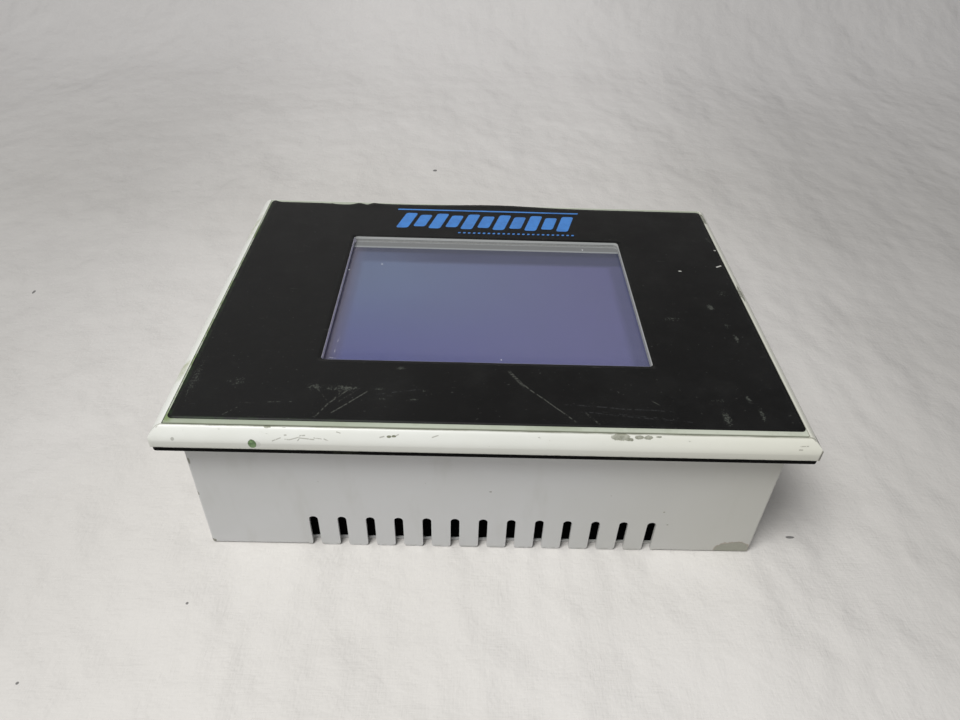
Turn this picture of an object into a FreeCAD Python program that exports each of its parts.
"""Panel-mount touch-screen operator terminal, lying on its back with the screen up.

Row frame, in millimetres: origin at the centre of the rear face, +Z out through the screen,
+Y towards the screen's top edge, +X to the operator's right.
"""

import FreeCAD
import Part

import math
import os

V = FreeCAD.Vector
X_AXIS = V(1, 0, 0)
Y_AXIS = V(0, 1, 0)
Z_AXIS = V(0, 0, 1)

# ---------------------------------------------------------------- driving dimensions: outside
bezel_w = 212.6
bezel_h = 158.0
bezel_t = 7.9
bezel_corner_r = 1.5
lip_w = 3.0                 # rounded lip along the long edges, from the outer face to the plate's pocket
lip_side_w = 4.7            # the same along the two short edges
lip_land = 0.15             # narrow flat left at the lip's crown
lip_drop = 4.9              # height of the lip's rounded shoulder
lip_fullness = 0.28         # 0 would make the shoulder a flat bevel, 0.55 a quarter ellipse
bezel_foot_r = 0.9
stud_hole_depth = 4.5
spacer_hole_depth = 2.0

case_w = 199.5
case_h = 144.0
case_depth = 56.5           # rear face to the back of the bezel
case_sheet = 1.2
case_corner_r = 1.1
case_rear_r = 0.8
inner_corner_r = 0.3
inner_rear_r = 0.3

window_w = 115.5            # the 5.7 inch display's active area is 115.2 by 86.4
window_h = 86.0
window_r = 1.5
window_y = 0.2

slot_count = 13
slot_pitch = 10.15
slot_w = 3.2
slot_top = 16.0
relief_depth = 3.1          # from the wall's outer face to the edge of the rear sheet behind the vents
relief_half = 64.0          # half the length of that relief
finger_r = 1.3              # rounding of the free ends of the fingers between vents
comb_top = slot_top + 2.0   # height of the comb of fingers from the rear face

clamp_slot_w = 4.2
clamp_slot_l = 10.0
clamp_slot_pitch = 84.0
clamp_slot_z = 40.0

gasket_t = 1.5
gasket_setback = 0.5
gasket_play = 0.3

# ---------------------------------------------------------------- driving dimensions: front stack
plate_stand = 0.05          # front plate's face above the crown of the lip
label_w = 201.8
label_h = 147.4
label_t = 0.25
label_r = 2.0
label_x = 0.2
label_y = 0.1
plate_t = 1.0
pocket_r = 0.5
plate_gap = 0.35
foam_t = 1.5
touch_w = 134.0
touch_h = 104.0
touch_play = 1.5
touch_corner_r = 1.0
window_margin = 0.15        # label and foam stand back this far from the plate's window
touch_film_t = 0.2
touch_glass_t = 1.9
rest_foam_t = 0.5

lcd_w = 167.0
lcd_h = 109.0
lcd_depth = 8.6
lcd_play = 2.0
lcd_view_w = 121.0
lcd_view_h = 97.4
can_corner_r = 0.8
view_corner_r = 1.0
lcd_glass_w = 148.0
lcd_glass_h = 100.0
lcd_glass_t = 1.6
diffuser_t = 0.4
guide_t = 4.0
tin = 0.4
lamp_r = 1.2
lamp_cap_r = 1.8
chassis_t = 1.2
chassis_w = 158.0
chassis_h = 126.0
chassis_corner_r = 2.0

# ---------------------------------------------------------------- driving dimensions: rear and inside
bay_w = 160.0
bay_h = 32.0
bay_y = 42.0
bay_depth = 14.0
bay_sheet = 1.0
bay_flange = 6.0

board_t = 1.6
board_gap = 5.5             # bay floor to the main board
board_w = 172.0
board_low_y = -50.0
board_high_y = 60.0
filter_t = 4.0
filter_top = 20.0
inverter_drop = 6.6         # inverter board below the chassis

screw_clear_r = 1.6         # M3 clearance
screw_hole_r = 1.25         # M3 tapped hole, drawn plain
screw_r = 1.2               # M3 thread, drawn plain
running_gap = 0.05          # play round every piece that moves
head_slot_w = 0.7           # slots and crosses in screw heads
overcut = 1.0               # how far a cutter runs past the metal it cuts

# ---------------------------------------------------------------- heights, worked out
bezel_back = case_depth
lip_top = bezel_back + bezel_t
plate_top = lip_top + plate_stand
label_top = plate_top + label_t
plate_back = plate_top - plate_t
foam_back = plate_back - foam_t
film_back = foam_back - touch_film_t
touch_glass_back = film_back - touch_glass_t
lcd_top = touch_glass_back - rest_foam_t
lcd_back = lcd_top - lcd_depth
lcd_glass_top = lcd_top - tin
lcd_glass_back = lcd_glass_top - lcd_glass_t
diffuser_back = lcd_glass_back - diffuser_t
guide_back = diffuser_back - guide_t
lamp_z = (guide_back + diffuser_back) / 2
hollow_roof = lcd_top + 0.6
chassis_back = lcd_back - chassis_t
inverter_back = chassis_back - inverter_drop
gasket_back = bezel_back - gasket_t
bay_floor = bay_depth + bay_sheet
board_back = bay_floor + board_gap
board_top = board_back + board_t

# ---------------------------------------------------------------- plan positions
pillar_x = 91.0
pillar_y = 63.5
pillar_across = 6.0
spacer_x = 70.0
spacer_y = 59.5
standoff_places = [(sx * 74.0, y) for sx in (-1, 1) for y in (-42.0, 54.0)]
filter_y = case_h / 2 - relief_depth - 0.4 - filter_t / 2
power_x = -66.0
earth_x = -50.0
dip_x = -38.0
reset_x = -25.0
trimmer_x = -13.0


# ---------------------------------------------------------------- shape helpers
def block(x0, x1, y0, y1, z0, z1):
    return Part.makeBox(x1 - x0, y1 - y0, z1 - z0, V(x0, y0, z0))


def centred(w, h, z0, z1, x=0.0, y=0.0):
    return block(x - w / 2, x + w / 2, y - h / 2, y + h / 2, z0, z1)


def upright_edges(solid):
    return [e for e in solid.Edges if abs(e.tangentAt(e.FirstParameter).z) > 0.9]


def edges_at(solid, z):
    return [e for e in solid.Edges if abs(e.BoundBox.ZMin - z) + abs(e.BoundBox.ZMax - z) < 1e-4]


def rounded(w, h, z0, z1, r, x=0.0, y=0.0):
    """Upright block whose four vertical edges are rounded."""
    solid = centred(w, h, z0, z1, x, y)
    return solid.makeFillet(r, upright_edges(solid))


def rod(r, z0, z1, x=0.0, y=0.0):
    return Part.makeCylinder(r, z1 - z0, V(x, y, z0), Z_AXIS)


def hexagon(across_flats, z0, z1, x=0.0, y=0.0):
    radius = across_flats / math.sqrt(3)
    turns = [math.radians(60 * i) for i in range(7)]
    points = [V(x + radius * math.cos(a), y + radius * math.sin(a), z0) for a in turns]
    return Part.Face(Part.makePolygon(points)).extrude(V(0, 0, z1 - z0))


def fused(solids):
    return solids[0].multiFuse(solids[1:]).removeSplitter()


def group(solids):
    return Part.makeCompound(list(solids))


def at_corners(x, y, make):
    return [make(sx * x, sy * y) for sx in (-1, 1) for sy in (-1, 1)]


def frame_of(outer_w, outer_h, inner_w, inner_h, z0, z1):
    """Flat rectangular ring with lightly rounded corners."""
    corner_r = 1.0
    return rounded(outer_w, outer_h, z0, z1, corner_r).cut(rounded(inner_w, inner_h, z0, z1, corner_r))


def cross_slot(width, length, z0, z1, x, y):
    return centred(width, length, z0, z1, x, y).fuse(centred(length, width, z0, z1, x, y))


def ribbon(points, thickness, y0, y1):
    """Flat cable that follows a path of (x, z) points and spans y0 to y1."""
    path = [V(x, y0, z) for x, z in points]
    steps = [(b - a).normalize() for a, b in zip(path, path[1:])]
    one_side = []
    other_side = []
    for i, point in enumerate(path):
        before = steps[max(i - 1, 0)]
        after = steps[min(i, len(steps) - 1)]
        ahead = (before + after).normalize()
        side = V(-ahead.z, 0, ahead.x) * (thickness / 2 / ahead.dot(before))
        one_side.append(point + side)
        other_side.append(point - side)
    outline = one_side + other_side[::-1] + one_side[:1]
    return Part.Face(Part.makePolygon(outline)).extrude(V(0, y1 - y0, 0))


def wire_run(points, r):
    """Round cable through the given points, with a ball at each turn."""
    legs = [Part.makeCylinder(r, (b - a).Length, a, b - a) for a, b in zip(points, points[1:])]
    return fused(legs + [Part.makeSphere(r, p) for p in points[1:-1]])


def pan_screw(x, y, seat_z):
    """M3 pan-head screw whose head sits under a face that looks down, its thread going up."""
    head_r, head_t, head_round, reach = 2.7, 2.0, 0.8, 6.5
    cross_l, cross_depth = 3.2, 1.0
    head_z = seat_z - head_t
    head = rod(head_r, head_z, seat_z, x, y)
    head = head.makeFillet(head_round, edges_at(head, head_z))
    head = head.cut(cross_slot(head_slot_w, cross_l, head_z, head_z + cross_depth, x, y))
    return fused([head, rod(screw_r, seat_z, seat_z + reach, x, y)])


# ---------------------------------------------------------------- front assembly
def rolled_bar(across, along, lip):
    """Bar along Y whose two long edges roll over a soft shoulder above a rounded foot."""
    roll = lip - lip_land
    shoulder = lip_top - lip_drop
    foot = bezel_back + bezel_foot_r
    edges = []
    for s in (-1, 1):
        side = s * across / 2
        crown = V(side - s * roll, 0, lip_top)
        edge = V(side, 0, shoulder)
        over = V(s * roll * lip_fullness, 0, 0)
        rise = V(0, 0, lip_drop * lip_fullness)
        curve = Part.BezierCurve()
        curve.setPoles([crown, crown + over, edge + rise, edge])
        edges.append(curve.toShape())
        edges.append(Part.makeLine(V(side, 0, shoulder), V(side, 0, foot)))
        k = bezel_foot_r * (1 - math.sqrt(0.5))
        heel = V(side - s * bezel_foot_r, 0, bezel_back)
        edges.append(Part.Arc(V(side, 0, foot), V(side - s * k, 0, bezel_back + k), heel).toShape())
    crown_x = across / 2 - roll
    heel_x = across / 2 - bezel_foot_r
    edges.append(Part.makeLine(V(-crown_x, 0, lip_top), V(crown_x, 0, lip_top)))
    edges.append(Part.makeLine(V(-heel_x, 0, bezel_back), V(heel_x, 0, bezel_back)))
    face = Part.Face(Part.Wire(Part.sortEdges(edges)[0]))
    face.translate(V(0, -along / 2, 0))
    return face.extrude(V(0, along, 0))


def bezel_blank():
    """Solid bezel: two rolled bars crossed at right angles, so the lip is mitred; corners eased."""
    crossing = rolled_bar(bezel_h, bezel_w, lip_w)
    crossing.rotate(V(0, 0, 0), Z_AXIS, 90)
    eased = rounded(bezel_w, bezel_h, bezel_back, lip_top, bezel_corner_r)
    return rolled_bar(bezel_w, bezel_h, lip_side_w).common(crossing).common(eased)


def tapped_holes(x, y, depth):
    """Four screw holes going up into the back of the bezel."""
    return at_corners(x, y, lambda px, py: rod(screw_hole_r, bezel_back, bezel_back + depth, px, py))


def bezel_frame():
    """Bezel with a pocket for the front plate and hollows for the touch panel and the display."""
    pocket = rounded(bezel_w - 2 * lip_side_w, bezel_h - 2 * lip_w, plate_back, lip_top + overcut, pocket_r)
    touch_hole = centred(touch_w + 2 * touch_play, touch_h + 2 * touch_play, bezel_back, lip_top)
    lcd_hollow = centred(lcd_w + 2 * lcd_play, lcd_h + 2 * lcd_play, bezel_back, hollow_roof)
    holes = tapped_holes(pillar_x, pillar_y, stud_hole_depth)
    holes += tapped_holes(spacer_x, spacer_y, spacer_hole_depth)
    return bezel_blank().cut(pocket).cut(touch_hole).cut(lcd_hollow).cut(group(holes))


def window_cut(z0, z1, grow=0.0):
    return rounded(window_w + 2 * grow, window_h + 2 * grow, z0, z1, window_r + grow, 0, window_y)


def front_plate():
    plate_w = bezel_w - 2 * (lip_side_w + plate_gap)
    plate_h = bezel_h - 2 * (lip_w + plate_gap)
    plate = rounded(plate_w, plate_h, plate_back, plate_top, pocket_r)
    return plate.cut(window_cut(plate_back, plate_top))


def front_label():
    sheet = rounded(label_w, label_h, plate_top, label_top, label_r, label_x, label_y)
    return sheet.cut(window_cut(plate_top, label_top, window_margin))


def touch_sheet(z0, z1):
    return rounded(touch_w, touch_h, z0, z1, touch_corner_r)


def touch_foam():
    return touch_sheet(foam_back, plate_back).cut(window_cut(foam_back, plate_back, window_margin))


def touch_film():
    return touch_sheet(film_back, foam_back)


def touch_glass():
    return touch_sheet(touch_glass_back, film_back)


def display_foam():
    set_back_x, set_back_y = 0.5, 0.3
    view_w, view_h = lcd_view_w + 2 * set_back_x, lcd_view_h + 2 * set_back_y
    return frame_of(touch_w, touch_h, view_w, view_h, lcd_top, touch_glass_back)


def panel_gasket():
    outer = rounded(bezel_w - 2 * gasket_setback, bezel_h - 2 * gasket_setback, gasket_back, bezel_back,
                    bezel_corner_r)
    inner = rounded(case_w + 2 * gasket_play, case_h + 2 * gasket_play, gasket_back, bezel_back,
                    case_corner_r + gasket_play)
    return outer.cut(inner)


# ---------------------------------------------------------------- display module
def lcd_can():
    """Tinned steel can: a flat rim round the glass and four thin sides."""
    outer = rounded(lcd_w, lcd_h, lcd_back, lcd_top, can_corner_r)
    inner = centred(lcd_w - 2 * tin, lcd_h - 2 * tin, lcd_back, lcd_top - tin)
    view = rounded(lcd_view_w, lcd_view_h, lcd_top - tin, lcd_top, view_corner_r)
    return outer.cut(inner).cut(view)


def lcd_glass():
    return centred(lcd_glass_w, lcd_glass_h, lcd_glass_back, lcd_glass_top)


def diffuser_sheet():
    return centred(lcd_glass_w, lcd_glass_h, diffuser_back, lcd_glass_back)


def light_guide():
    lamp_room = 4.0
    return centred(lcd_glass_w, lcd_glass_h - lamp_room, guide_back, diffuser_back, 0, lamp_room / 2)


def backlight_lamp():
    """Cold-cathode tube along the display's lower edge, with a rubber cap at each end."""
    tube_l, cap_l = 140.0, 5.0
    y = -lcd_glass_h / 2 - lamp_r
    tube = Part.makeCylinder(lamp_r, tube_l, V(-tube_l / 2, y, lamp_z), X_AXIS)
    caps = [Part.makeCylinder(lamp_cap_r, cap_l, V(x, y, lamp_z), X_AXIS)
            for x in (-tube_l / 2 - cap_l, tube_l / 2)]
    return fused([tube] + caps)


def lcd_tray():
    slack = 2 * tin + 0.4
    return centred(lcd_w - slack, lcd_h - slack, lcd_back, guide_back)


def lcd_driver_board():
    """Narrow strip of circuit board beside the glass, with three driver chips under it."""
    strip_w, strip_l, strip_t, gap = 7.0, 96.0, 1.0, 1.0
    chip_w, chip_l, chip_t, chip_pitch = 4.5, 12.0, 1.5, 32.0
    x = lcd_glass_w / 2 + strip_w / 2 + gap
    strip_back = diffuser_back - strip_t
    strip = centred(strip_w, strip_l, strip_back, diffuser_back, x)
    chips = [centred(chip_w, chip_l, strip_back - chip_t, strip_back, x, i * chip_pitch) for i in (-1, 0, 1)]
    return fused([strip] + chips)


def display_chassis():
    """Steel plate that holds the display up against the touch panel and carries the boards."""
    opening_w, opening_h, opening_r, opening_xs = 30.0, 50.0, 4.0, (-12.0, 28.0)
    plate = rounded(chassis_w, chassis_h, chassis_back, lcd_back, chassis_corner_r)
    screw_places = at_corners(spacer_x, spacer_y, lambda x, y: (x, y)) + standoff_places
    holes = [rod(screw_clear_r, chassis_back, lcd_back, x, y) for x, y in screw_places]
    holes += [rounded(opening_w, opening_h, chassis_back, lcd_back, opening_r, x) for x in opening_xs]
    return plate.cut(group(holes))


def chassis_spacers():
    spacer_r = 2.4

    def spacer(x, y):
        tube = rod(spacer_r, lcd_back, bezel_back, x, y)
        return tube.cut(rod(screw_clear_r, lcd_back, bezel_back, x, y))
    return group(at_corners(spacer_x, spacer_y, spacer))


def chassis_screws():
    """All the M3 pan-head screws: four hold the chassis to the bezel, four the board to its standoffs."""
    places = at_corners(spacer_x, spacer_y, lambda x, y: (x, y, chassis_back))
    places += [(x, y, board_back) for x, y in standoff_places]
    return group(pan_screw(x, y, seat_z) for x, y, seat_z in places)


# ---------------------------------------------------------------- housing
def vent_cutter(x, side):
    """One vent: a round-topped notch in the wall's free edge, its two bottom corners rounded off."""
    half = slot_w / 2
    face_y = side * (case_h / 2 + overcut)
    depth = case_sheet + 2 * overcut
    left_low, left_high = V(x - half, face_y, -overcut), V(x - half, face_y, slot_top - half)
    right_low, right_high = V(x + half, face_y, -overcut), V(x + half, face_y, slot_top - half)
    outline = [
        Part.makeLine(left_low, left_high),
        Part.Arc(left_high, V(x, face_y, slot_top), right_high).toShape(),
        Part.makeLine(right_high, right_low),
        Part.makeLine(right_low, left_low),
    ]
    notch = Part.Face(Part.Wire(outline)).extrude(V(0, -side * depth, 0))
    return fused([notch] + [finger_rounding(x + s * half, s, face_y, side, depth) for s in (-1, 1)])


def finger_rounding(edge_x, out, face_y, side, depth):
    """Wedge that takes the corner off the metal beside a vent and leaves it round."""
    xs = sorted((edge_x, edge_x + out * finger_r))
    ys = sorted((face_y, face_y - side * depth))
    wedge = block(*xs, *ys, -overcut, finger_r)
    bar = Part.makeCylinder(finger_r, depth, V(edge_x + out * finger_r, face_y, finger_r), V(0, -side, 0))
    return wedge.cut(bar)


def vent_comb(side):
    """Flat strip of the wall whose free lower edge is notched into fingers."""
    ys = sorted((side * case_h / 2, side * (case_h / 2 - case_sheet)))
    strip = block(-relief_half, relief_half, *ys, 0, comb_top)
    vents = [vent_cutter((i - (slot_count - 1) / 2) * slot_pitch, side) for i in range(slot_count)]
    return strip.cut(group(vents))


def vent_relief(side):
    """Everything the comb replaces, and the gap behind it in the rear sheet."""
    outside = side * (case_h / 2 + overcut)
    gap_ys = sorted((outside, side * (case_h / 2 - relief_depth)))
    wall_ys = sorted((outside, side * (case_h / 2 - case_sheet)))
    gap = block(-relief_half, relief_half, *gap_ys, -overcut, case_sheet + inner_rear_r)
    return fused([gap, block(-relief_half, relief_half, *wall_ys, -overcut, comb_top)])


def clamp_slot(side, y):
    """Round-ended slot through a side wall, for a panel clamp's hook."""
    r = clamp_slot_w / 2
    half = clamp_slot_l / 2 - r
    depth = 3 * case_sheet
    x0 = side * (case_w / 2 - case_sheet / 2) - depth / 2
    ends = [Part.makeCylinder(r, depth, V(x0, y + dy, clamp_slot_z), X_AXIS) for dy in (-half, half)]
    middle = block(x0, x0 + depth, y - half, y + half, clamp_slot_z - r, clamp_slot_z + r)
    return fused(ends + [middle])


def countersink(x, y):
    """Cone shared by the rear screws' heads and their seats in the sheet and the pillars."""
    head_r = 3.0
    return Part.makeCone(head_r, screw_r, head_r - screw_r, V(x, y, 0), Z_AXIS)


def housing():
    """Folded steel box, open at the front, with two combs of vents, a bay opening and clamp slots."""
    opening_r = 2.0
    outer = rounded(case_w, case_h, 0, case_depth, case_corner_r)
    outer = outer.makeFillet(case_rear_r, edges_at(outer, 0))
    inner = rounded(case_w - 2 * case_sheet, case_h - 2 * case_sheet, case_sheet, case_depth, inner_corner_r)
    inner = inner.makeFillet(inner_rear_r, edges_at(inner, case_sheet))
    bay_opening = rounded(bay_w, bay_h, 0, case_sheet, opening_r, 0, bay_y)
    hooks = [clamp_slot(side, s * clamp_slot_pitch / 2) for side in (-1, 1) for s in (-1, 1)]
    screw_seats = at_corners(pillar_x, pillar_y, countersink)
    rivet_holes = [rod(rivet_r, 0, case_sheet, x, y) for x, y in rivet_places]
    box = outer.cut(inner).cut(group([bay_opening] + hooks + screw_seats + rivet_holes))
    box = box.cut(group(vent_relief(side) for side in (-1, 1)))
    return fused([box] + [vent_comb(side) for side in (-1, 1)])


def corner_pillars():
    """Hexagonal pillars that tie the rear face to the bezel, a stud at the front, tapped at the rear."""
    stud_l, tapped_depth = 4.0, 9.0

    def pillar(x, y):
        body = hexagon(pillar_across, case_sheet, bezel_back, x, y)
        stud = rod(screw_r, bezel_back, bezel_back + stud_l, x, y)
        tapped = rod(screw_hole_r, case_sheet, case_sheet + tapped_depth, x, y)
        return fused([body, stud]).cut(tapped).cut(countersink(x, y))
    return group(at_corners(pillar_x, pillar_y, pillar))


def rear_screws():
    """Countersunk screws through the rear sheet, their heads just below its face."""
    flush, reach, cross_l, cross_z, skim_r = 0.1, 8.0, 3.2, 0.9, 4.0

    def screw(x, y):
        body = fused([countersink(x, y), rod(screw_r, flush, reach, x, y)])
        body = body.cut(rod(skim_r, 0, flush, x, y))
        return body.cut(cross_slot(head_slot_w, cross_l, 0, cross_z, x, y))
    return group(at_corners(pillar_x, pillar_y, screw))


def dust_filters():
    """Black open-cell foam strips just inside the two rows of vents."""
    end_cover = 3.0
    length = slot_pitch * slot_count + 2 * end_cover
    return group(centred(length, filter_t, case_sheet, filter_top, 0, s * filter_y) for s in (-1, 1))


def insulating_sheet():
    """Thin sheet that keeps the board clear of the metal rear face, beside the connector bay."""
    half_w, thickness, gap = 84.0, 0.4, 1.0
    low_y = -filter_y + filter_t / 2 + gap
    high_y = bay_y - bay_h / 2 - bay_flange
    return block(-half_w, half_w, low_y, high_y, case_sheet, case_sheet + thickness)


def rating_label():
    """Blank foil label on the housing's top wall."""
    w, low_z, high_z, thickness = 62.0, 24.0, 48.0, 0.15
    return block(-w / 2, w / 2, case_h / 2, case_h / 2 + thickness, low_z, high_z)


# ---------------------------------------------------------------- connector bay
rivet_r = 1.6
rivet_head_r = 2.4
rivet_head_t = 0.8
rivet_rise = 10.0           # rivets stand this far above and below the bay's centre line
rivet_x = (bay_w + bay_sheet + bay_flange) / 2
rivet_places = [(sx * rivet_x, bay_y + sy * rivet_rise) for sx in (-1, 1) for sy in (-1, 1)]
bay_lip_z = case_sheet + bay_sheet


def bay_rivets():
    def rivet(x, y):
        head = rod(rivet_head_r, bay_lip_z, bay_lip_z + rivet_head_t, x, y)
        return fused([head, rod(rivet_r, 0, bay_lip_z, x, y)])
    return group(rivet(x, y) for x, y in rivet_places)


port_shell_h = 8.3
port_flange_h = 12.5
port_flange_t = 0.8
port_flange_r = 1.0
port_stand_out = 4.9
port_wall = 0.4
port_corner_r = 1.8
port_lean = math.radians(10)
pin_reach = 4.4             # port pins stand this far out of the bay floor
serial_port = dict(x=9.5, shell_w=16.9, screw_pitch=25.0, flange_w=30.8, pins=9)
wide_port = dict(x=52.0, shell_w=38.9, screw_pitch=47.0, flange_w=53.0, pins=25)


def d_prism(w, h, z0, z1, x):
    """D-shaped prism: sides leaning in, rounded corners, the wide side towards +Y."""
    lean = h * math.tan(port_lean)
    points = [V(x - w / 2, bay_y + h / 2, z0), V(x + w / 2, bay_y + h / 2, z0),
              V(x + w / 2 - lean, bay_y - h / 2, z0), V(x - w / 2 + lean, bay_y - h / 2, z0)]
    solid = Part.Face(Part.makePolygon(points + points[:1])).extrude(V(0, 0, z1 - z0))
    return solid.makeFillet(port_corner_r, upright_edges(solid))


def port_screw_places(port):
    return [port["x"] + s * port["screw_pitch"] / 2 for s in (-1, 1)]


def connector_bay():
    """Recessed tray that sets the rear sockets back from the rear face."""
    outer_r, inner_r, rim_h = 2.5, 2.0, bay_h + 8.0
    tray = rounded(bay_w + 2 * bay_sheet, bay_h + 2 * bay_sheet, case_sheet, bay_floor, outer_r, 0, bay_y)
    rim = rounded(bay_w + 2 * bay_flange, rim_h, case_sheet, bay_lip_z, inner_r, 0, bay_y)
    hollow = rounded(bay_w, bay_h, case_sheet, bay_depth, inner_r, 0, bay_y)
    rivet_holes = [rod(rivet_r, case_sheet, bay_lip_z, x, y) for x, y in rivet_places]
    return fused([tray, rim]).cut(hollow).cut(group(rivet_holes + floor_openings()))


def floor_openings():
    """Openings in the bay's floor for the ports, the switches, the trimmer and the earth stud."""
    port_gap, header_gap, button_gap, rotor_gap = 0.4, 0.3, 0.5, 0.8
    slider_opening_w, slider_opening_h = dip_w - 0.8, 6.4

    def hole(r, x):
        return rod(r, bay_depth, bay_floor, x, bay_y)

    def window(w, h, x):
        return centred(w, h, bay_depth, bay_floor, x, bay_y)

    openings = [hole(button_r + button_gap, reset_x), hole(rotor_r + rotor_gap, trimmer_x)]
    openings.append(hole(earth_r, earth_x))
    openings.append(window(header_w + 2 * header_gap, header_h + 2 * header_gap, power_x))
    openings.append(window(slider_opening_w, slider_opening_h, dip_x))
    for port in (serial_port, wide_port):
        w, h = port["shell_w"] + 2 * port_gap, port_shell_h + 2 * port_gap
        openings.append(d_prism(w, h, bay_depth, bay_floor, port["x"]))
        openings += [hole(screw_clear_r, x) for x in port_screw_places(port)]
    return openings


def port_shell(port):
    """Plated metal shell and flange of a D-shaped plug."""
    x, w = port["x"], port["shell_w"]
    nose_z = bay_depth - port_stand_out
    flange_z = bay_floor + port_flange_t
    flange = rounded(port["flange_w"], port_flange_h, bay_floor, flange_z, port_flange_r, x, bay_y)
    nose = d_prism(w, port_shell_h, nose_z, flange_z, x)
    bore = d_prism(w - 2 * port_wall, port_shell_h - 2 * port_wall, nose_z, flange_z, x)
    holes = [rod(screw_clear_r, bay_floor, flange_z, px, bay_y) for px in port_screw_places(port)]
    return fused([flange, nose]).cut(bore).cut(group(holes))


def port_contacts(port):
    """Insulator block with its two rows of pins."""
    x, w = port["x"], port["shell_w"]
    pin_pitch, row_y, pin_r = 2.77, 1.42, 0.5
    body_w, body_h, fit = w + 1.6, 9.6, 2.5 * port_wall
    flange_z = bay_floor + port_flange_t
    insert = d_prism(w - fit, port_shell_h - fit, bay_depth, flange_z, x)
    body = centred(body_w, body_h, flange_z, board_back, x, bay_y)
    rows = (((port["pins"] + 1) // 2, row_y), (port["pins"] // 2, -row_y))
    pins = [rod(pin_r, bay_depth - pin_reach, bay_depth, x + (i - (n - 1) / 2) * pin_pitch, bay_y + dy)
            for n, dy in rows for i in range(n)]
    return fused([insert, body] + pins)


def port_jackscrews():
    """Hexagonal standoffs that hold each port in the bay floor and take the cable's screws."""
    across, nut_l, stud_l, tapped_depth = 4.8, 5.0, 4.0, 4.0
    nut_z = bay_depth - nut_l

    def jack(x):
        nut = hexagon(across, nut_z, bay_depth, x, bay_y)
        stud = rod(screw_r, bay_depth, bay_floor + stud_l, x, bay_y)
        return fused([nut, stud]).cut(rod(screw_hole_r, nut_z, nut_z + tapped_depth, x, bay_y))
    return group(jack(x) for port in (serial_port, wide_port) for x in port_screw_places(port))


earth_r = 2.0


def earth_stud():
    """M4 stud clamped through the bay floor by a nut on each side."""
    nut_across, nut_t, stand_out, end = 7.0, 3.2, 8.0, 3.6
    stud = rod(earth_r, bay_depth - stand_out, bay_floor + end, earth_x, bay_y)
    nuts = [hexagon(nut_across, z, z + nut_t, earth_x, bay_y) for z in (bay_depth - nut_t, bay_floor)]
    return fused([stud] + nuts)


# ---------------------------------------------------------------- supply plug
plug_pitch = 3.81
plug_w = 12.0
plug_h = 7.6
plug_back = 1.0
plug_top = 16.6
plug_screw_z = 5.4
plug_screw_r = 1.3
plug_screw_l = 2.4
plug_screw_sink = 0.2       # screw heads below the plug's side
plug_ways = [power_x + i * plug_pitch for i in (-1, 0, 1)]
header_w = 14.6
header_h = 9.8
header_back = 8.0
pin_side = 0.9
cavity_top = plug_top + 0.3


def power_header():
    """Board socket of the supply: an open shroud round three pins."""
    shroud_r, pin_recess = 0.6, 1.5
    cavity_w, cavity_h = plug_w + 2 * running_gap, plug_h + 2 * running_gap
    shroud = rounded(header_w, header_h, header_back, board_back, shroud_r, power_x, bay_y)
    cavity = centred(cavity_w, cavity_h, header_back, cavity_top, power_x, bay_y)
    pins = [centred(pin_side, pin_side, header_back + pin_recess, cavity_top, x, bay_y) for x in plug_ways]
    return fused([shroud.cut(cavity)] + pins)


def power_plug():
    """Removable three-way plug with wire funnels at the rear and clamp screws on one side."""
    edge, funnel_r, funnel_depth, funnel_y, socket_start = 0.4, 1.3, 2.2, bay_y + 1.4, header_back + 1.0
    body = centred(plug_w, plug_h, plug_back, plug_top, power_x, bay_y)
    body = body.makeChamfer(edge, edges_at(body, plug_back))
    socket_side = pin_side + 2 * running_gap
    bore_r = plug_screw_r + running_gap
    bore_l = plug_screw_sink + plug_screw_l + 2 * running_gap
    cuts = []
    for x in plug_ways:
        cuts.append(centred(socket_side, socket_side, socket_start, plug_top, x, bay_y))
        cuts.append(rod(funnel_r, plug_back, plug_back + funnel_depth, x, funnel_y))
        cuts.append(Part.makeCylinder(bore_r, bore_l, V(x, bay_y - plug_h / 2, plug_screw_z), Y_AXIS))
    return body.cut(group(cuts))


def plug_screw(index):
    """Slotted clamp screw, sunk a little into the plug's side."""
    half_l, half_w, depth = 1.1, 0.25, 0.7
    x = plug_ways[index]
    head_y = bay_y - plug_h / 2 + plug_screw_sink
    screw = Part.makeCylinder(plug_screw_r, plug_screw_l, V(x, head_y, plug_screw_z), Y_AXIS)
    slot_zs = (plug_screw_z - half_w, plug_screw_z + half_w)
    return screw.cut(block(x - half_l, x + half_l, head_y, head_y + depth, *slot_zs))


# ---------------------------------------------------------------- switches
dip_w = 11.8
dip_h = 9.2
dip_pitch = 2.54
dip_travel = 1.8
dip_ways = [dip_x + (i - 1.5) * dip_pitch for i in range(4)]
slider_w = 1.2
slider_l = 1.6
slider_foot = bay_floor + 1.2


def dip_switch_body():
    body = centred(dip_w, dip_h, bay_floor, board_back, dip_x, bay_y)
    width = slider_w + 2 * running_gap
    length = slider_l + dip_travel + 2 * running_gap
    channels = [centred(width, length, bay_floor, slider_foot + running_gap, x, bay_y) for x in dip_ways]
    return body.cut(group(channels))


def dip_slider(index):
    """Slider resting against the low end of its channel, which is its off position."""
    stand_out = 0.5
    low_end = bay_y - dip_travel / 2
    return centred(slider_w, slider_l, bay_floor - stand_out, slider_foot, dip_ways[index], low_end)


button_r = 1.7
button_travel = 0.5
button_stand_out = 1.6
switch_face = board_back - 3.4
button_root = switch_face + 0.5


def reset_switch_body():
    side, corner_r, end_play = 6.0, 0.5, 0.1
    body = rounded(side, side, switch_face, board_back, corner_r, reset_x, bay_y)
    well_top = button_root + button_travel + end_play
    return body.cut(rod(button_r + running_gap, switch_face, well_top, reset_x, bay_y))


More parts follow.
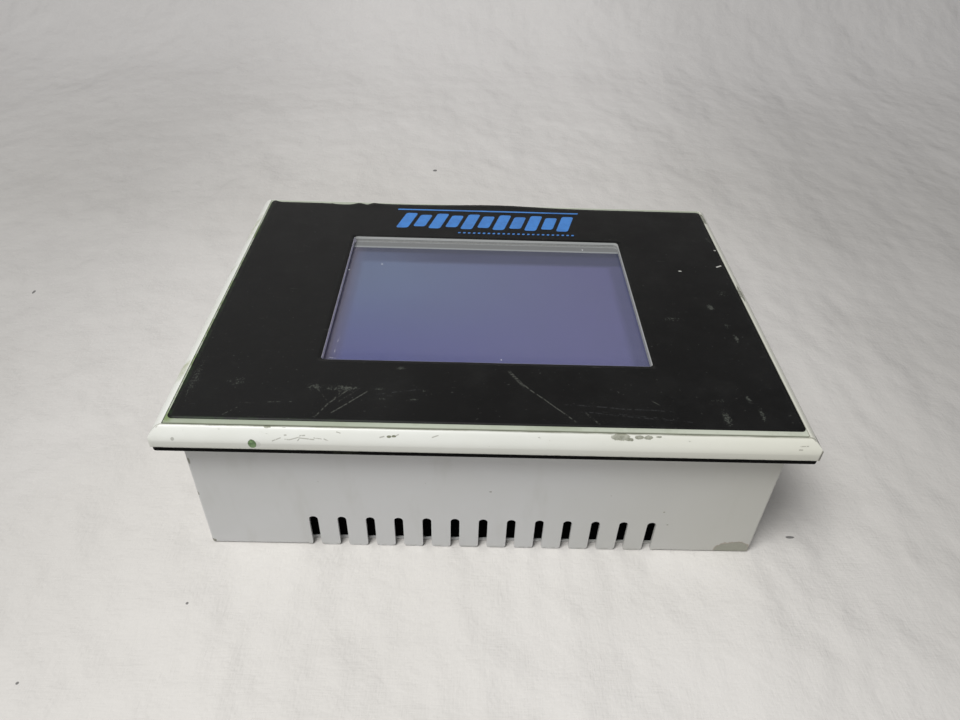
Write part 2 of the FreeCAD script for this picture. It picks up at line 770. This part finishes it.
def reset_button():
    return rod(button_r, bay_depth - button_stand_out, button_root, reset_x, bay_y)


rotor_r = 2.4
rotor_back = board_back - 4.9
rotor_front = board_back - 3.0


def trimmer_body():
    side, height, corner_r = 7.0, 4.4, 0.4
    face = board_back - height
    body = rounded(side, side, face, board_back, corner_r, trimmer_x, bay_y)
    return body.cut(rod(rotor_r + running_gap, face, rotor_front + running_gap, trimmer_x, bay_y))


def trimmer_rotor():
    cross_l, cross_depth = 3.4, 0.7
    rotor = rod(rotor_r, rotor_back, rotor_front, trimmer_x, bay_y)
    return rotor.cut(cross_slot(head_slot_w, cross_l, rotor_back, rotor_back + cross_depth, trimmer_x, bay_y))


# ---------------------------------------------------------------- electronics
def main_board():
    board = block(-board_w / 2, board_w / 2, board_low_y, board_high_y, board_back, board_top)
    return board.cut(group(rod(screw_clear_r, board_back, board_top, x, y) for x, y in standoff_places))


def board_standoffs():
    across, tapped_depth = 5.5, 7.0

    def post(x, y):
        body = hexagon(across, board_top, chassis_back, x, y)
        stud = rod(screw_r, chassis_back, lcd_back, x, y)
        return fused([body, stud]).cut(rod(screw_hole_r, board_top, board_top + tapped_depth, x, y))
    return group(post(x, y) for x, y in standoff_places)


processor_x = 10.0
processor_y = 5.0
processor_side = 28.0
processor_t = 3.0


def processor_chips():
    """Processor under the heat sink, and the memory and interface chips round it."""
    chip_t, square_side, oblong_w, oblong_h = 2.4, 14.0, 16.0, 8.0
    square_places = [(-22, 12), (-14, -22)]
    oblong_places = [(44, -8), (44, 4), (44, 16), (0, 40), (20, 40), (52, 40)]

    def chip(w, h, thickness, x, y):
        return centred(w, h, board_top, board_top + thickness, x, y)

    chips = [chip(processor_side, processor_side, processor_t, processor_x, processor_y)]
    chips += [chip(square_side, square_side, chip_t, x, y) for x, y in square_places]
    chips += [chip(oblong_w, oblong_h, chip_t, x, y) for x, y in oblong_places]
    return group(chips)


def heat_sink():
    """Square base on the processor with a row of upright fins."""
    side, base_t, fin_t, fin_h, fin_pitch, fin_count = 30.0, 2.5, 1.2, 8.5, 4.1, 8
    base_z = board_top + processor_t
    fin_z = base_z + base_t
    base = centred(side, side, base_z, fin_z, processor_x, processor_y)
    fin_xs = [processor_x + (i - (fin_count - 1) / 2) * fin_pitch for i in range(fin_count)]
    return fused([base] + [centred(fin_t, side, fin_z, fin_z + fin_h, x, processor_y) for x in fin_xs])


def capacitors():
    """Two rows of upright cans: three large beside the supply, three small."""
    edge = 0.6

    def can(x, y, r, h):
        body = rod(r, board_top, board_top + h, x, y)
        return body.makeFillet(edge, edges_at(body, board_top + h))

    def row(x, first_y, pitch, r, h):
        return [can(x, first_y + i * pitch, r, h) for i in range(3)]

    return group(row(-66.0, 10.0, 13.0, 5.0, 12.5) + row(-52.0, 12.0, 9.0, 3.15, 11.0))


def supply_module():
    side, height, corner_r, x, y = 25.0, 10.0, 0.8, -62.0, -14.0
    return rounded(side, side, board_top, board_top + height, corner_r, x, y)


cell_x = 60.0
cell_y = -34.0
cell_r = 10.0
cell_floor = board_top + 1.2


def battery_holder():
    wall, play, height = 1.4, 0.2, 4.6
    cup = rod(cell_r + play + wall, board_top, board_top + height, cell_x, cell_y)
    return cup.cut(rod(cell_r + play, cell_floor, board_top + height, cell_x, cell_y))


def coin_cell():
    thickness, edge = 3.2, 0.4
    cell = rod(cell_r, cell_floor, cell_floor + thickness, cell_x, cell_y)
    return cell.makeFillet(edge, edges_at(cell, cell_floor + thickness))


socket_x = 79.0
socket_h = 5.5
display_ribbon_y = 2.0
touch_tail_y = 30.0


def ribbon_sockets():
    """Board sockets for the display's ribbon and the touch film's tail."""
    width = 6.0

    def socket(length, y):
        return centred(width, length, board_top, board_top + socket_h, socket_x, y)

    return group([socket(30.0, display_ribbon_y), socket(14.0, touch_tail_y)])


def display_ribbon():
    """Flat cable from the display's side down to the board."""
    thickness, half_w, stand_out = 0.3, 13.0, 0.9
    x_out = lcd_w / 2 + stand_out
    z_out = lcd_back + 1.2
    z_low = board_top + 9.0
    path = [(lcd_w / 2, z_out), (x_out, z_out), (x_out, z_low), (socket_x, z_low),
            (socket_x, board_top + socket_h)]
    return ribbon(path, thickness, display_ribbon_y - half_w, display_ribbon_y + half_w)


def touch_tail():
    """Touch film's printed tail: over the display's rim, down beside it and in to the board."""
    half_w, stand_out = 5.0, 1.55
    x_film = touch_w / 2
    x_turn = x_film + 0.8
    x_out = lcd_w / 2 + stand_out
    z_film = film_back + touch_film_t / 2
    z_over = lcd_top + 0.25
    z_low = board_top + 12.0
    path = [(x_film, z_film), (x_turn, z_film), (x_turn, z_over), (x_out, z_over), (x_out, z_low),
            (socket_x, z_low), (socket_x, board_top + socket_h)]
    return ribbon(path, touch_film_t, touch_tail_y - half_w, touch_tail_y + half_w)


inverter_x = -61.0
lamp_socket_y = -32.0
lamp_socket_w = 8.0


def inverter_board():
    """Lamp inverter's board, hung from the chassis on four short posts."""
    width, length, post_x, post_y, post_r = 34.0, 76.0, 14.0, 34.0, 2.0
    top = inverter_back + board_t
    board = centred(width, length, inverter_back, top, inverter_x)
    posts = at_corners(post_x, post_y, lambda x, y: rod(post_r, top, chassis_back, inverter_x + x, y))
    return fused([board] + posts)


def inverter_parts():
    """Transformer and the two lamp sockets, under the inverter's board."""
    def part(w, h, depth, y):
        return centred(w, h, inverter_back - depth, inverter_back, inverter_x, y)

    transformer = part(16.0, 22.0, 7.0, 4.0)
    sockets = [part(lamp_socket_w, 6.0, 5.0, s * lamp_socket_y) for s in (-1, 1)]
    return group([transformer] + sockets)


def lamp_cable():
    """Lamp's lead: out beside the display, down past it and in to the inverter."""
    cable_r, stand_out, start_y = 0.8, 1.1, -48.0
    out_x = -lcd_w / 2 - stand_out
    z_low = inverter_back - 2.5
    end_x = inverter_x - lamp_socket_w / 2
    turns = [V(-lcd_w / 2, start_y, lamp_z), V(out_x, start_y, lamp_z), V(out_x, start_y, z_low),
             V(out_x, lamp_socket_y, z_low), V(end_x, lamp_socket_y, z_low)]
    return wire_run(turns, cable_r)


# ---------------------------------------------------------------- one STEP file per sub-part
nodes = {
    "bezel_frame": bezel_frame(),
    "front_plate": front_plate(),
    "front_label": front_label(),
    "touch_foam": touch_foam(),
    "touch_film": touch_film(),
    "touch_glass": touch_glass(),
    "display_foam": display_foam(),
    "panel_gasket": panel_gasket(),
    "lcd_can": lcd_can(),
    "lcd_glass": lcd_glass(),
    "diffuser_sheet": diffuser_sheet(),
    "light_guide": light_guide(),
    "backlight_lamp": backlight_lamp(),
    "lcd_tray": lcd_tray(),
    "lcd_driver_board": lcd_driver_board(),
    "display_chassis": display_chassis(),
    "chassis_spacers": chassis_spacers(),
    "chassis_screws": chassis_screws(),
    "housing": housing(),
    "corner_pillars": corner_pillars(),
    "rear_screws": rear_screws(),
    "dust_filters": dust_filters(),
    "insulating_sheet": insulating_sheet(),
    "rating_label": rating_label(),
    "connector_bay": connector_bay(),
    "bay_rivets": bay_rivets(),
    "serial_port_shell": port_shell(serial_port),
    "serial_port_contacts": port_contacts(serial_port),
    "wide_port_shell": port_shell(wide_port),
    "wide_port_contacts": port_contacts(wide_port),
    "port_jackscrews": port_jackscrews(),
    "earth_stud": earth_stud(),
    "power_header": power_header(),
    "power_plug": power_plug(),
    "dip_switch_body": dip_switch_body(),
    "reset_switch_body": reset_switch_body(),
    "reset_button": reset_button(),
    "trimmer_body": trimmer_body(),
    "trimmer_rotor": trimmer_rotor(),
    "main_board": main_board(),
    "board_standoffs": board_standoffs(),
    "processor_chips": processor_chips(),
    "heat_sink": heat_sink(),
    "capacitors": capacitors(),
    "supply_module": supply_module(),
    "battery_holder": battery_holder(),
    "coin_cell": coin_cell(),
    "ribbon_sockets": ribbon_sockets(),
    "display_ribbon": display_ribbon(),
    "touch_tail": touch_tail(),
    "inverter_board": inverter_board(),
    "inverter_parts": inverter_parts(),
    "lamp_cable": lamp_cable(),
}
for number in (1, 2, 3):
    nodes[f"plug_screw_{number}"] = plug_screw(number - 1)
for number in (1, 2, 3, 4):
    nodes[f"dip_slider_{number}"] = dip_slider(number - 1)

os.makedirs("parts", exist_ok=True)
for name, shape in nodes.items():
    shape.exportStep(f"parts/{name}.step")
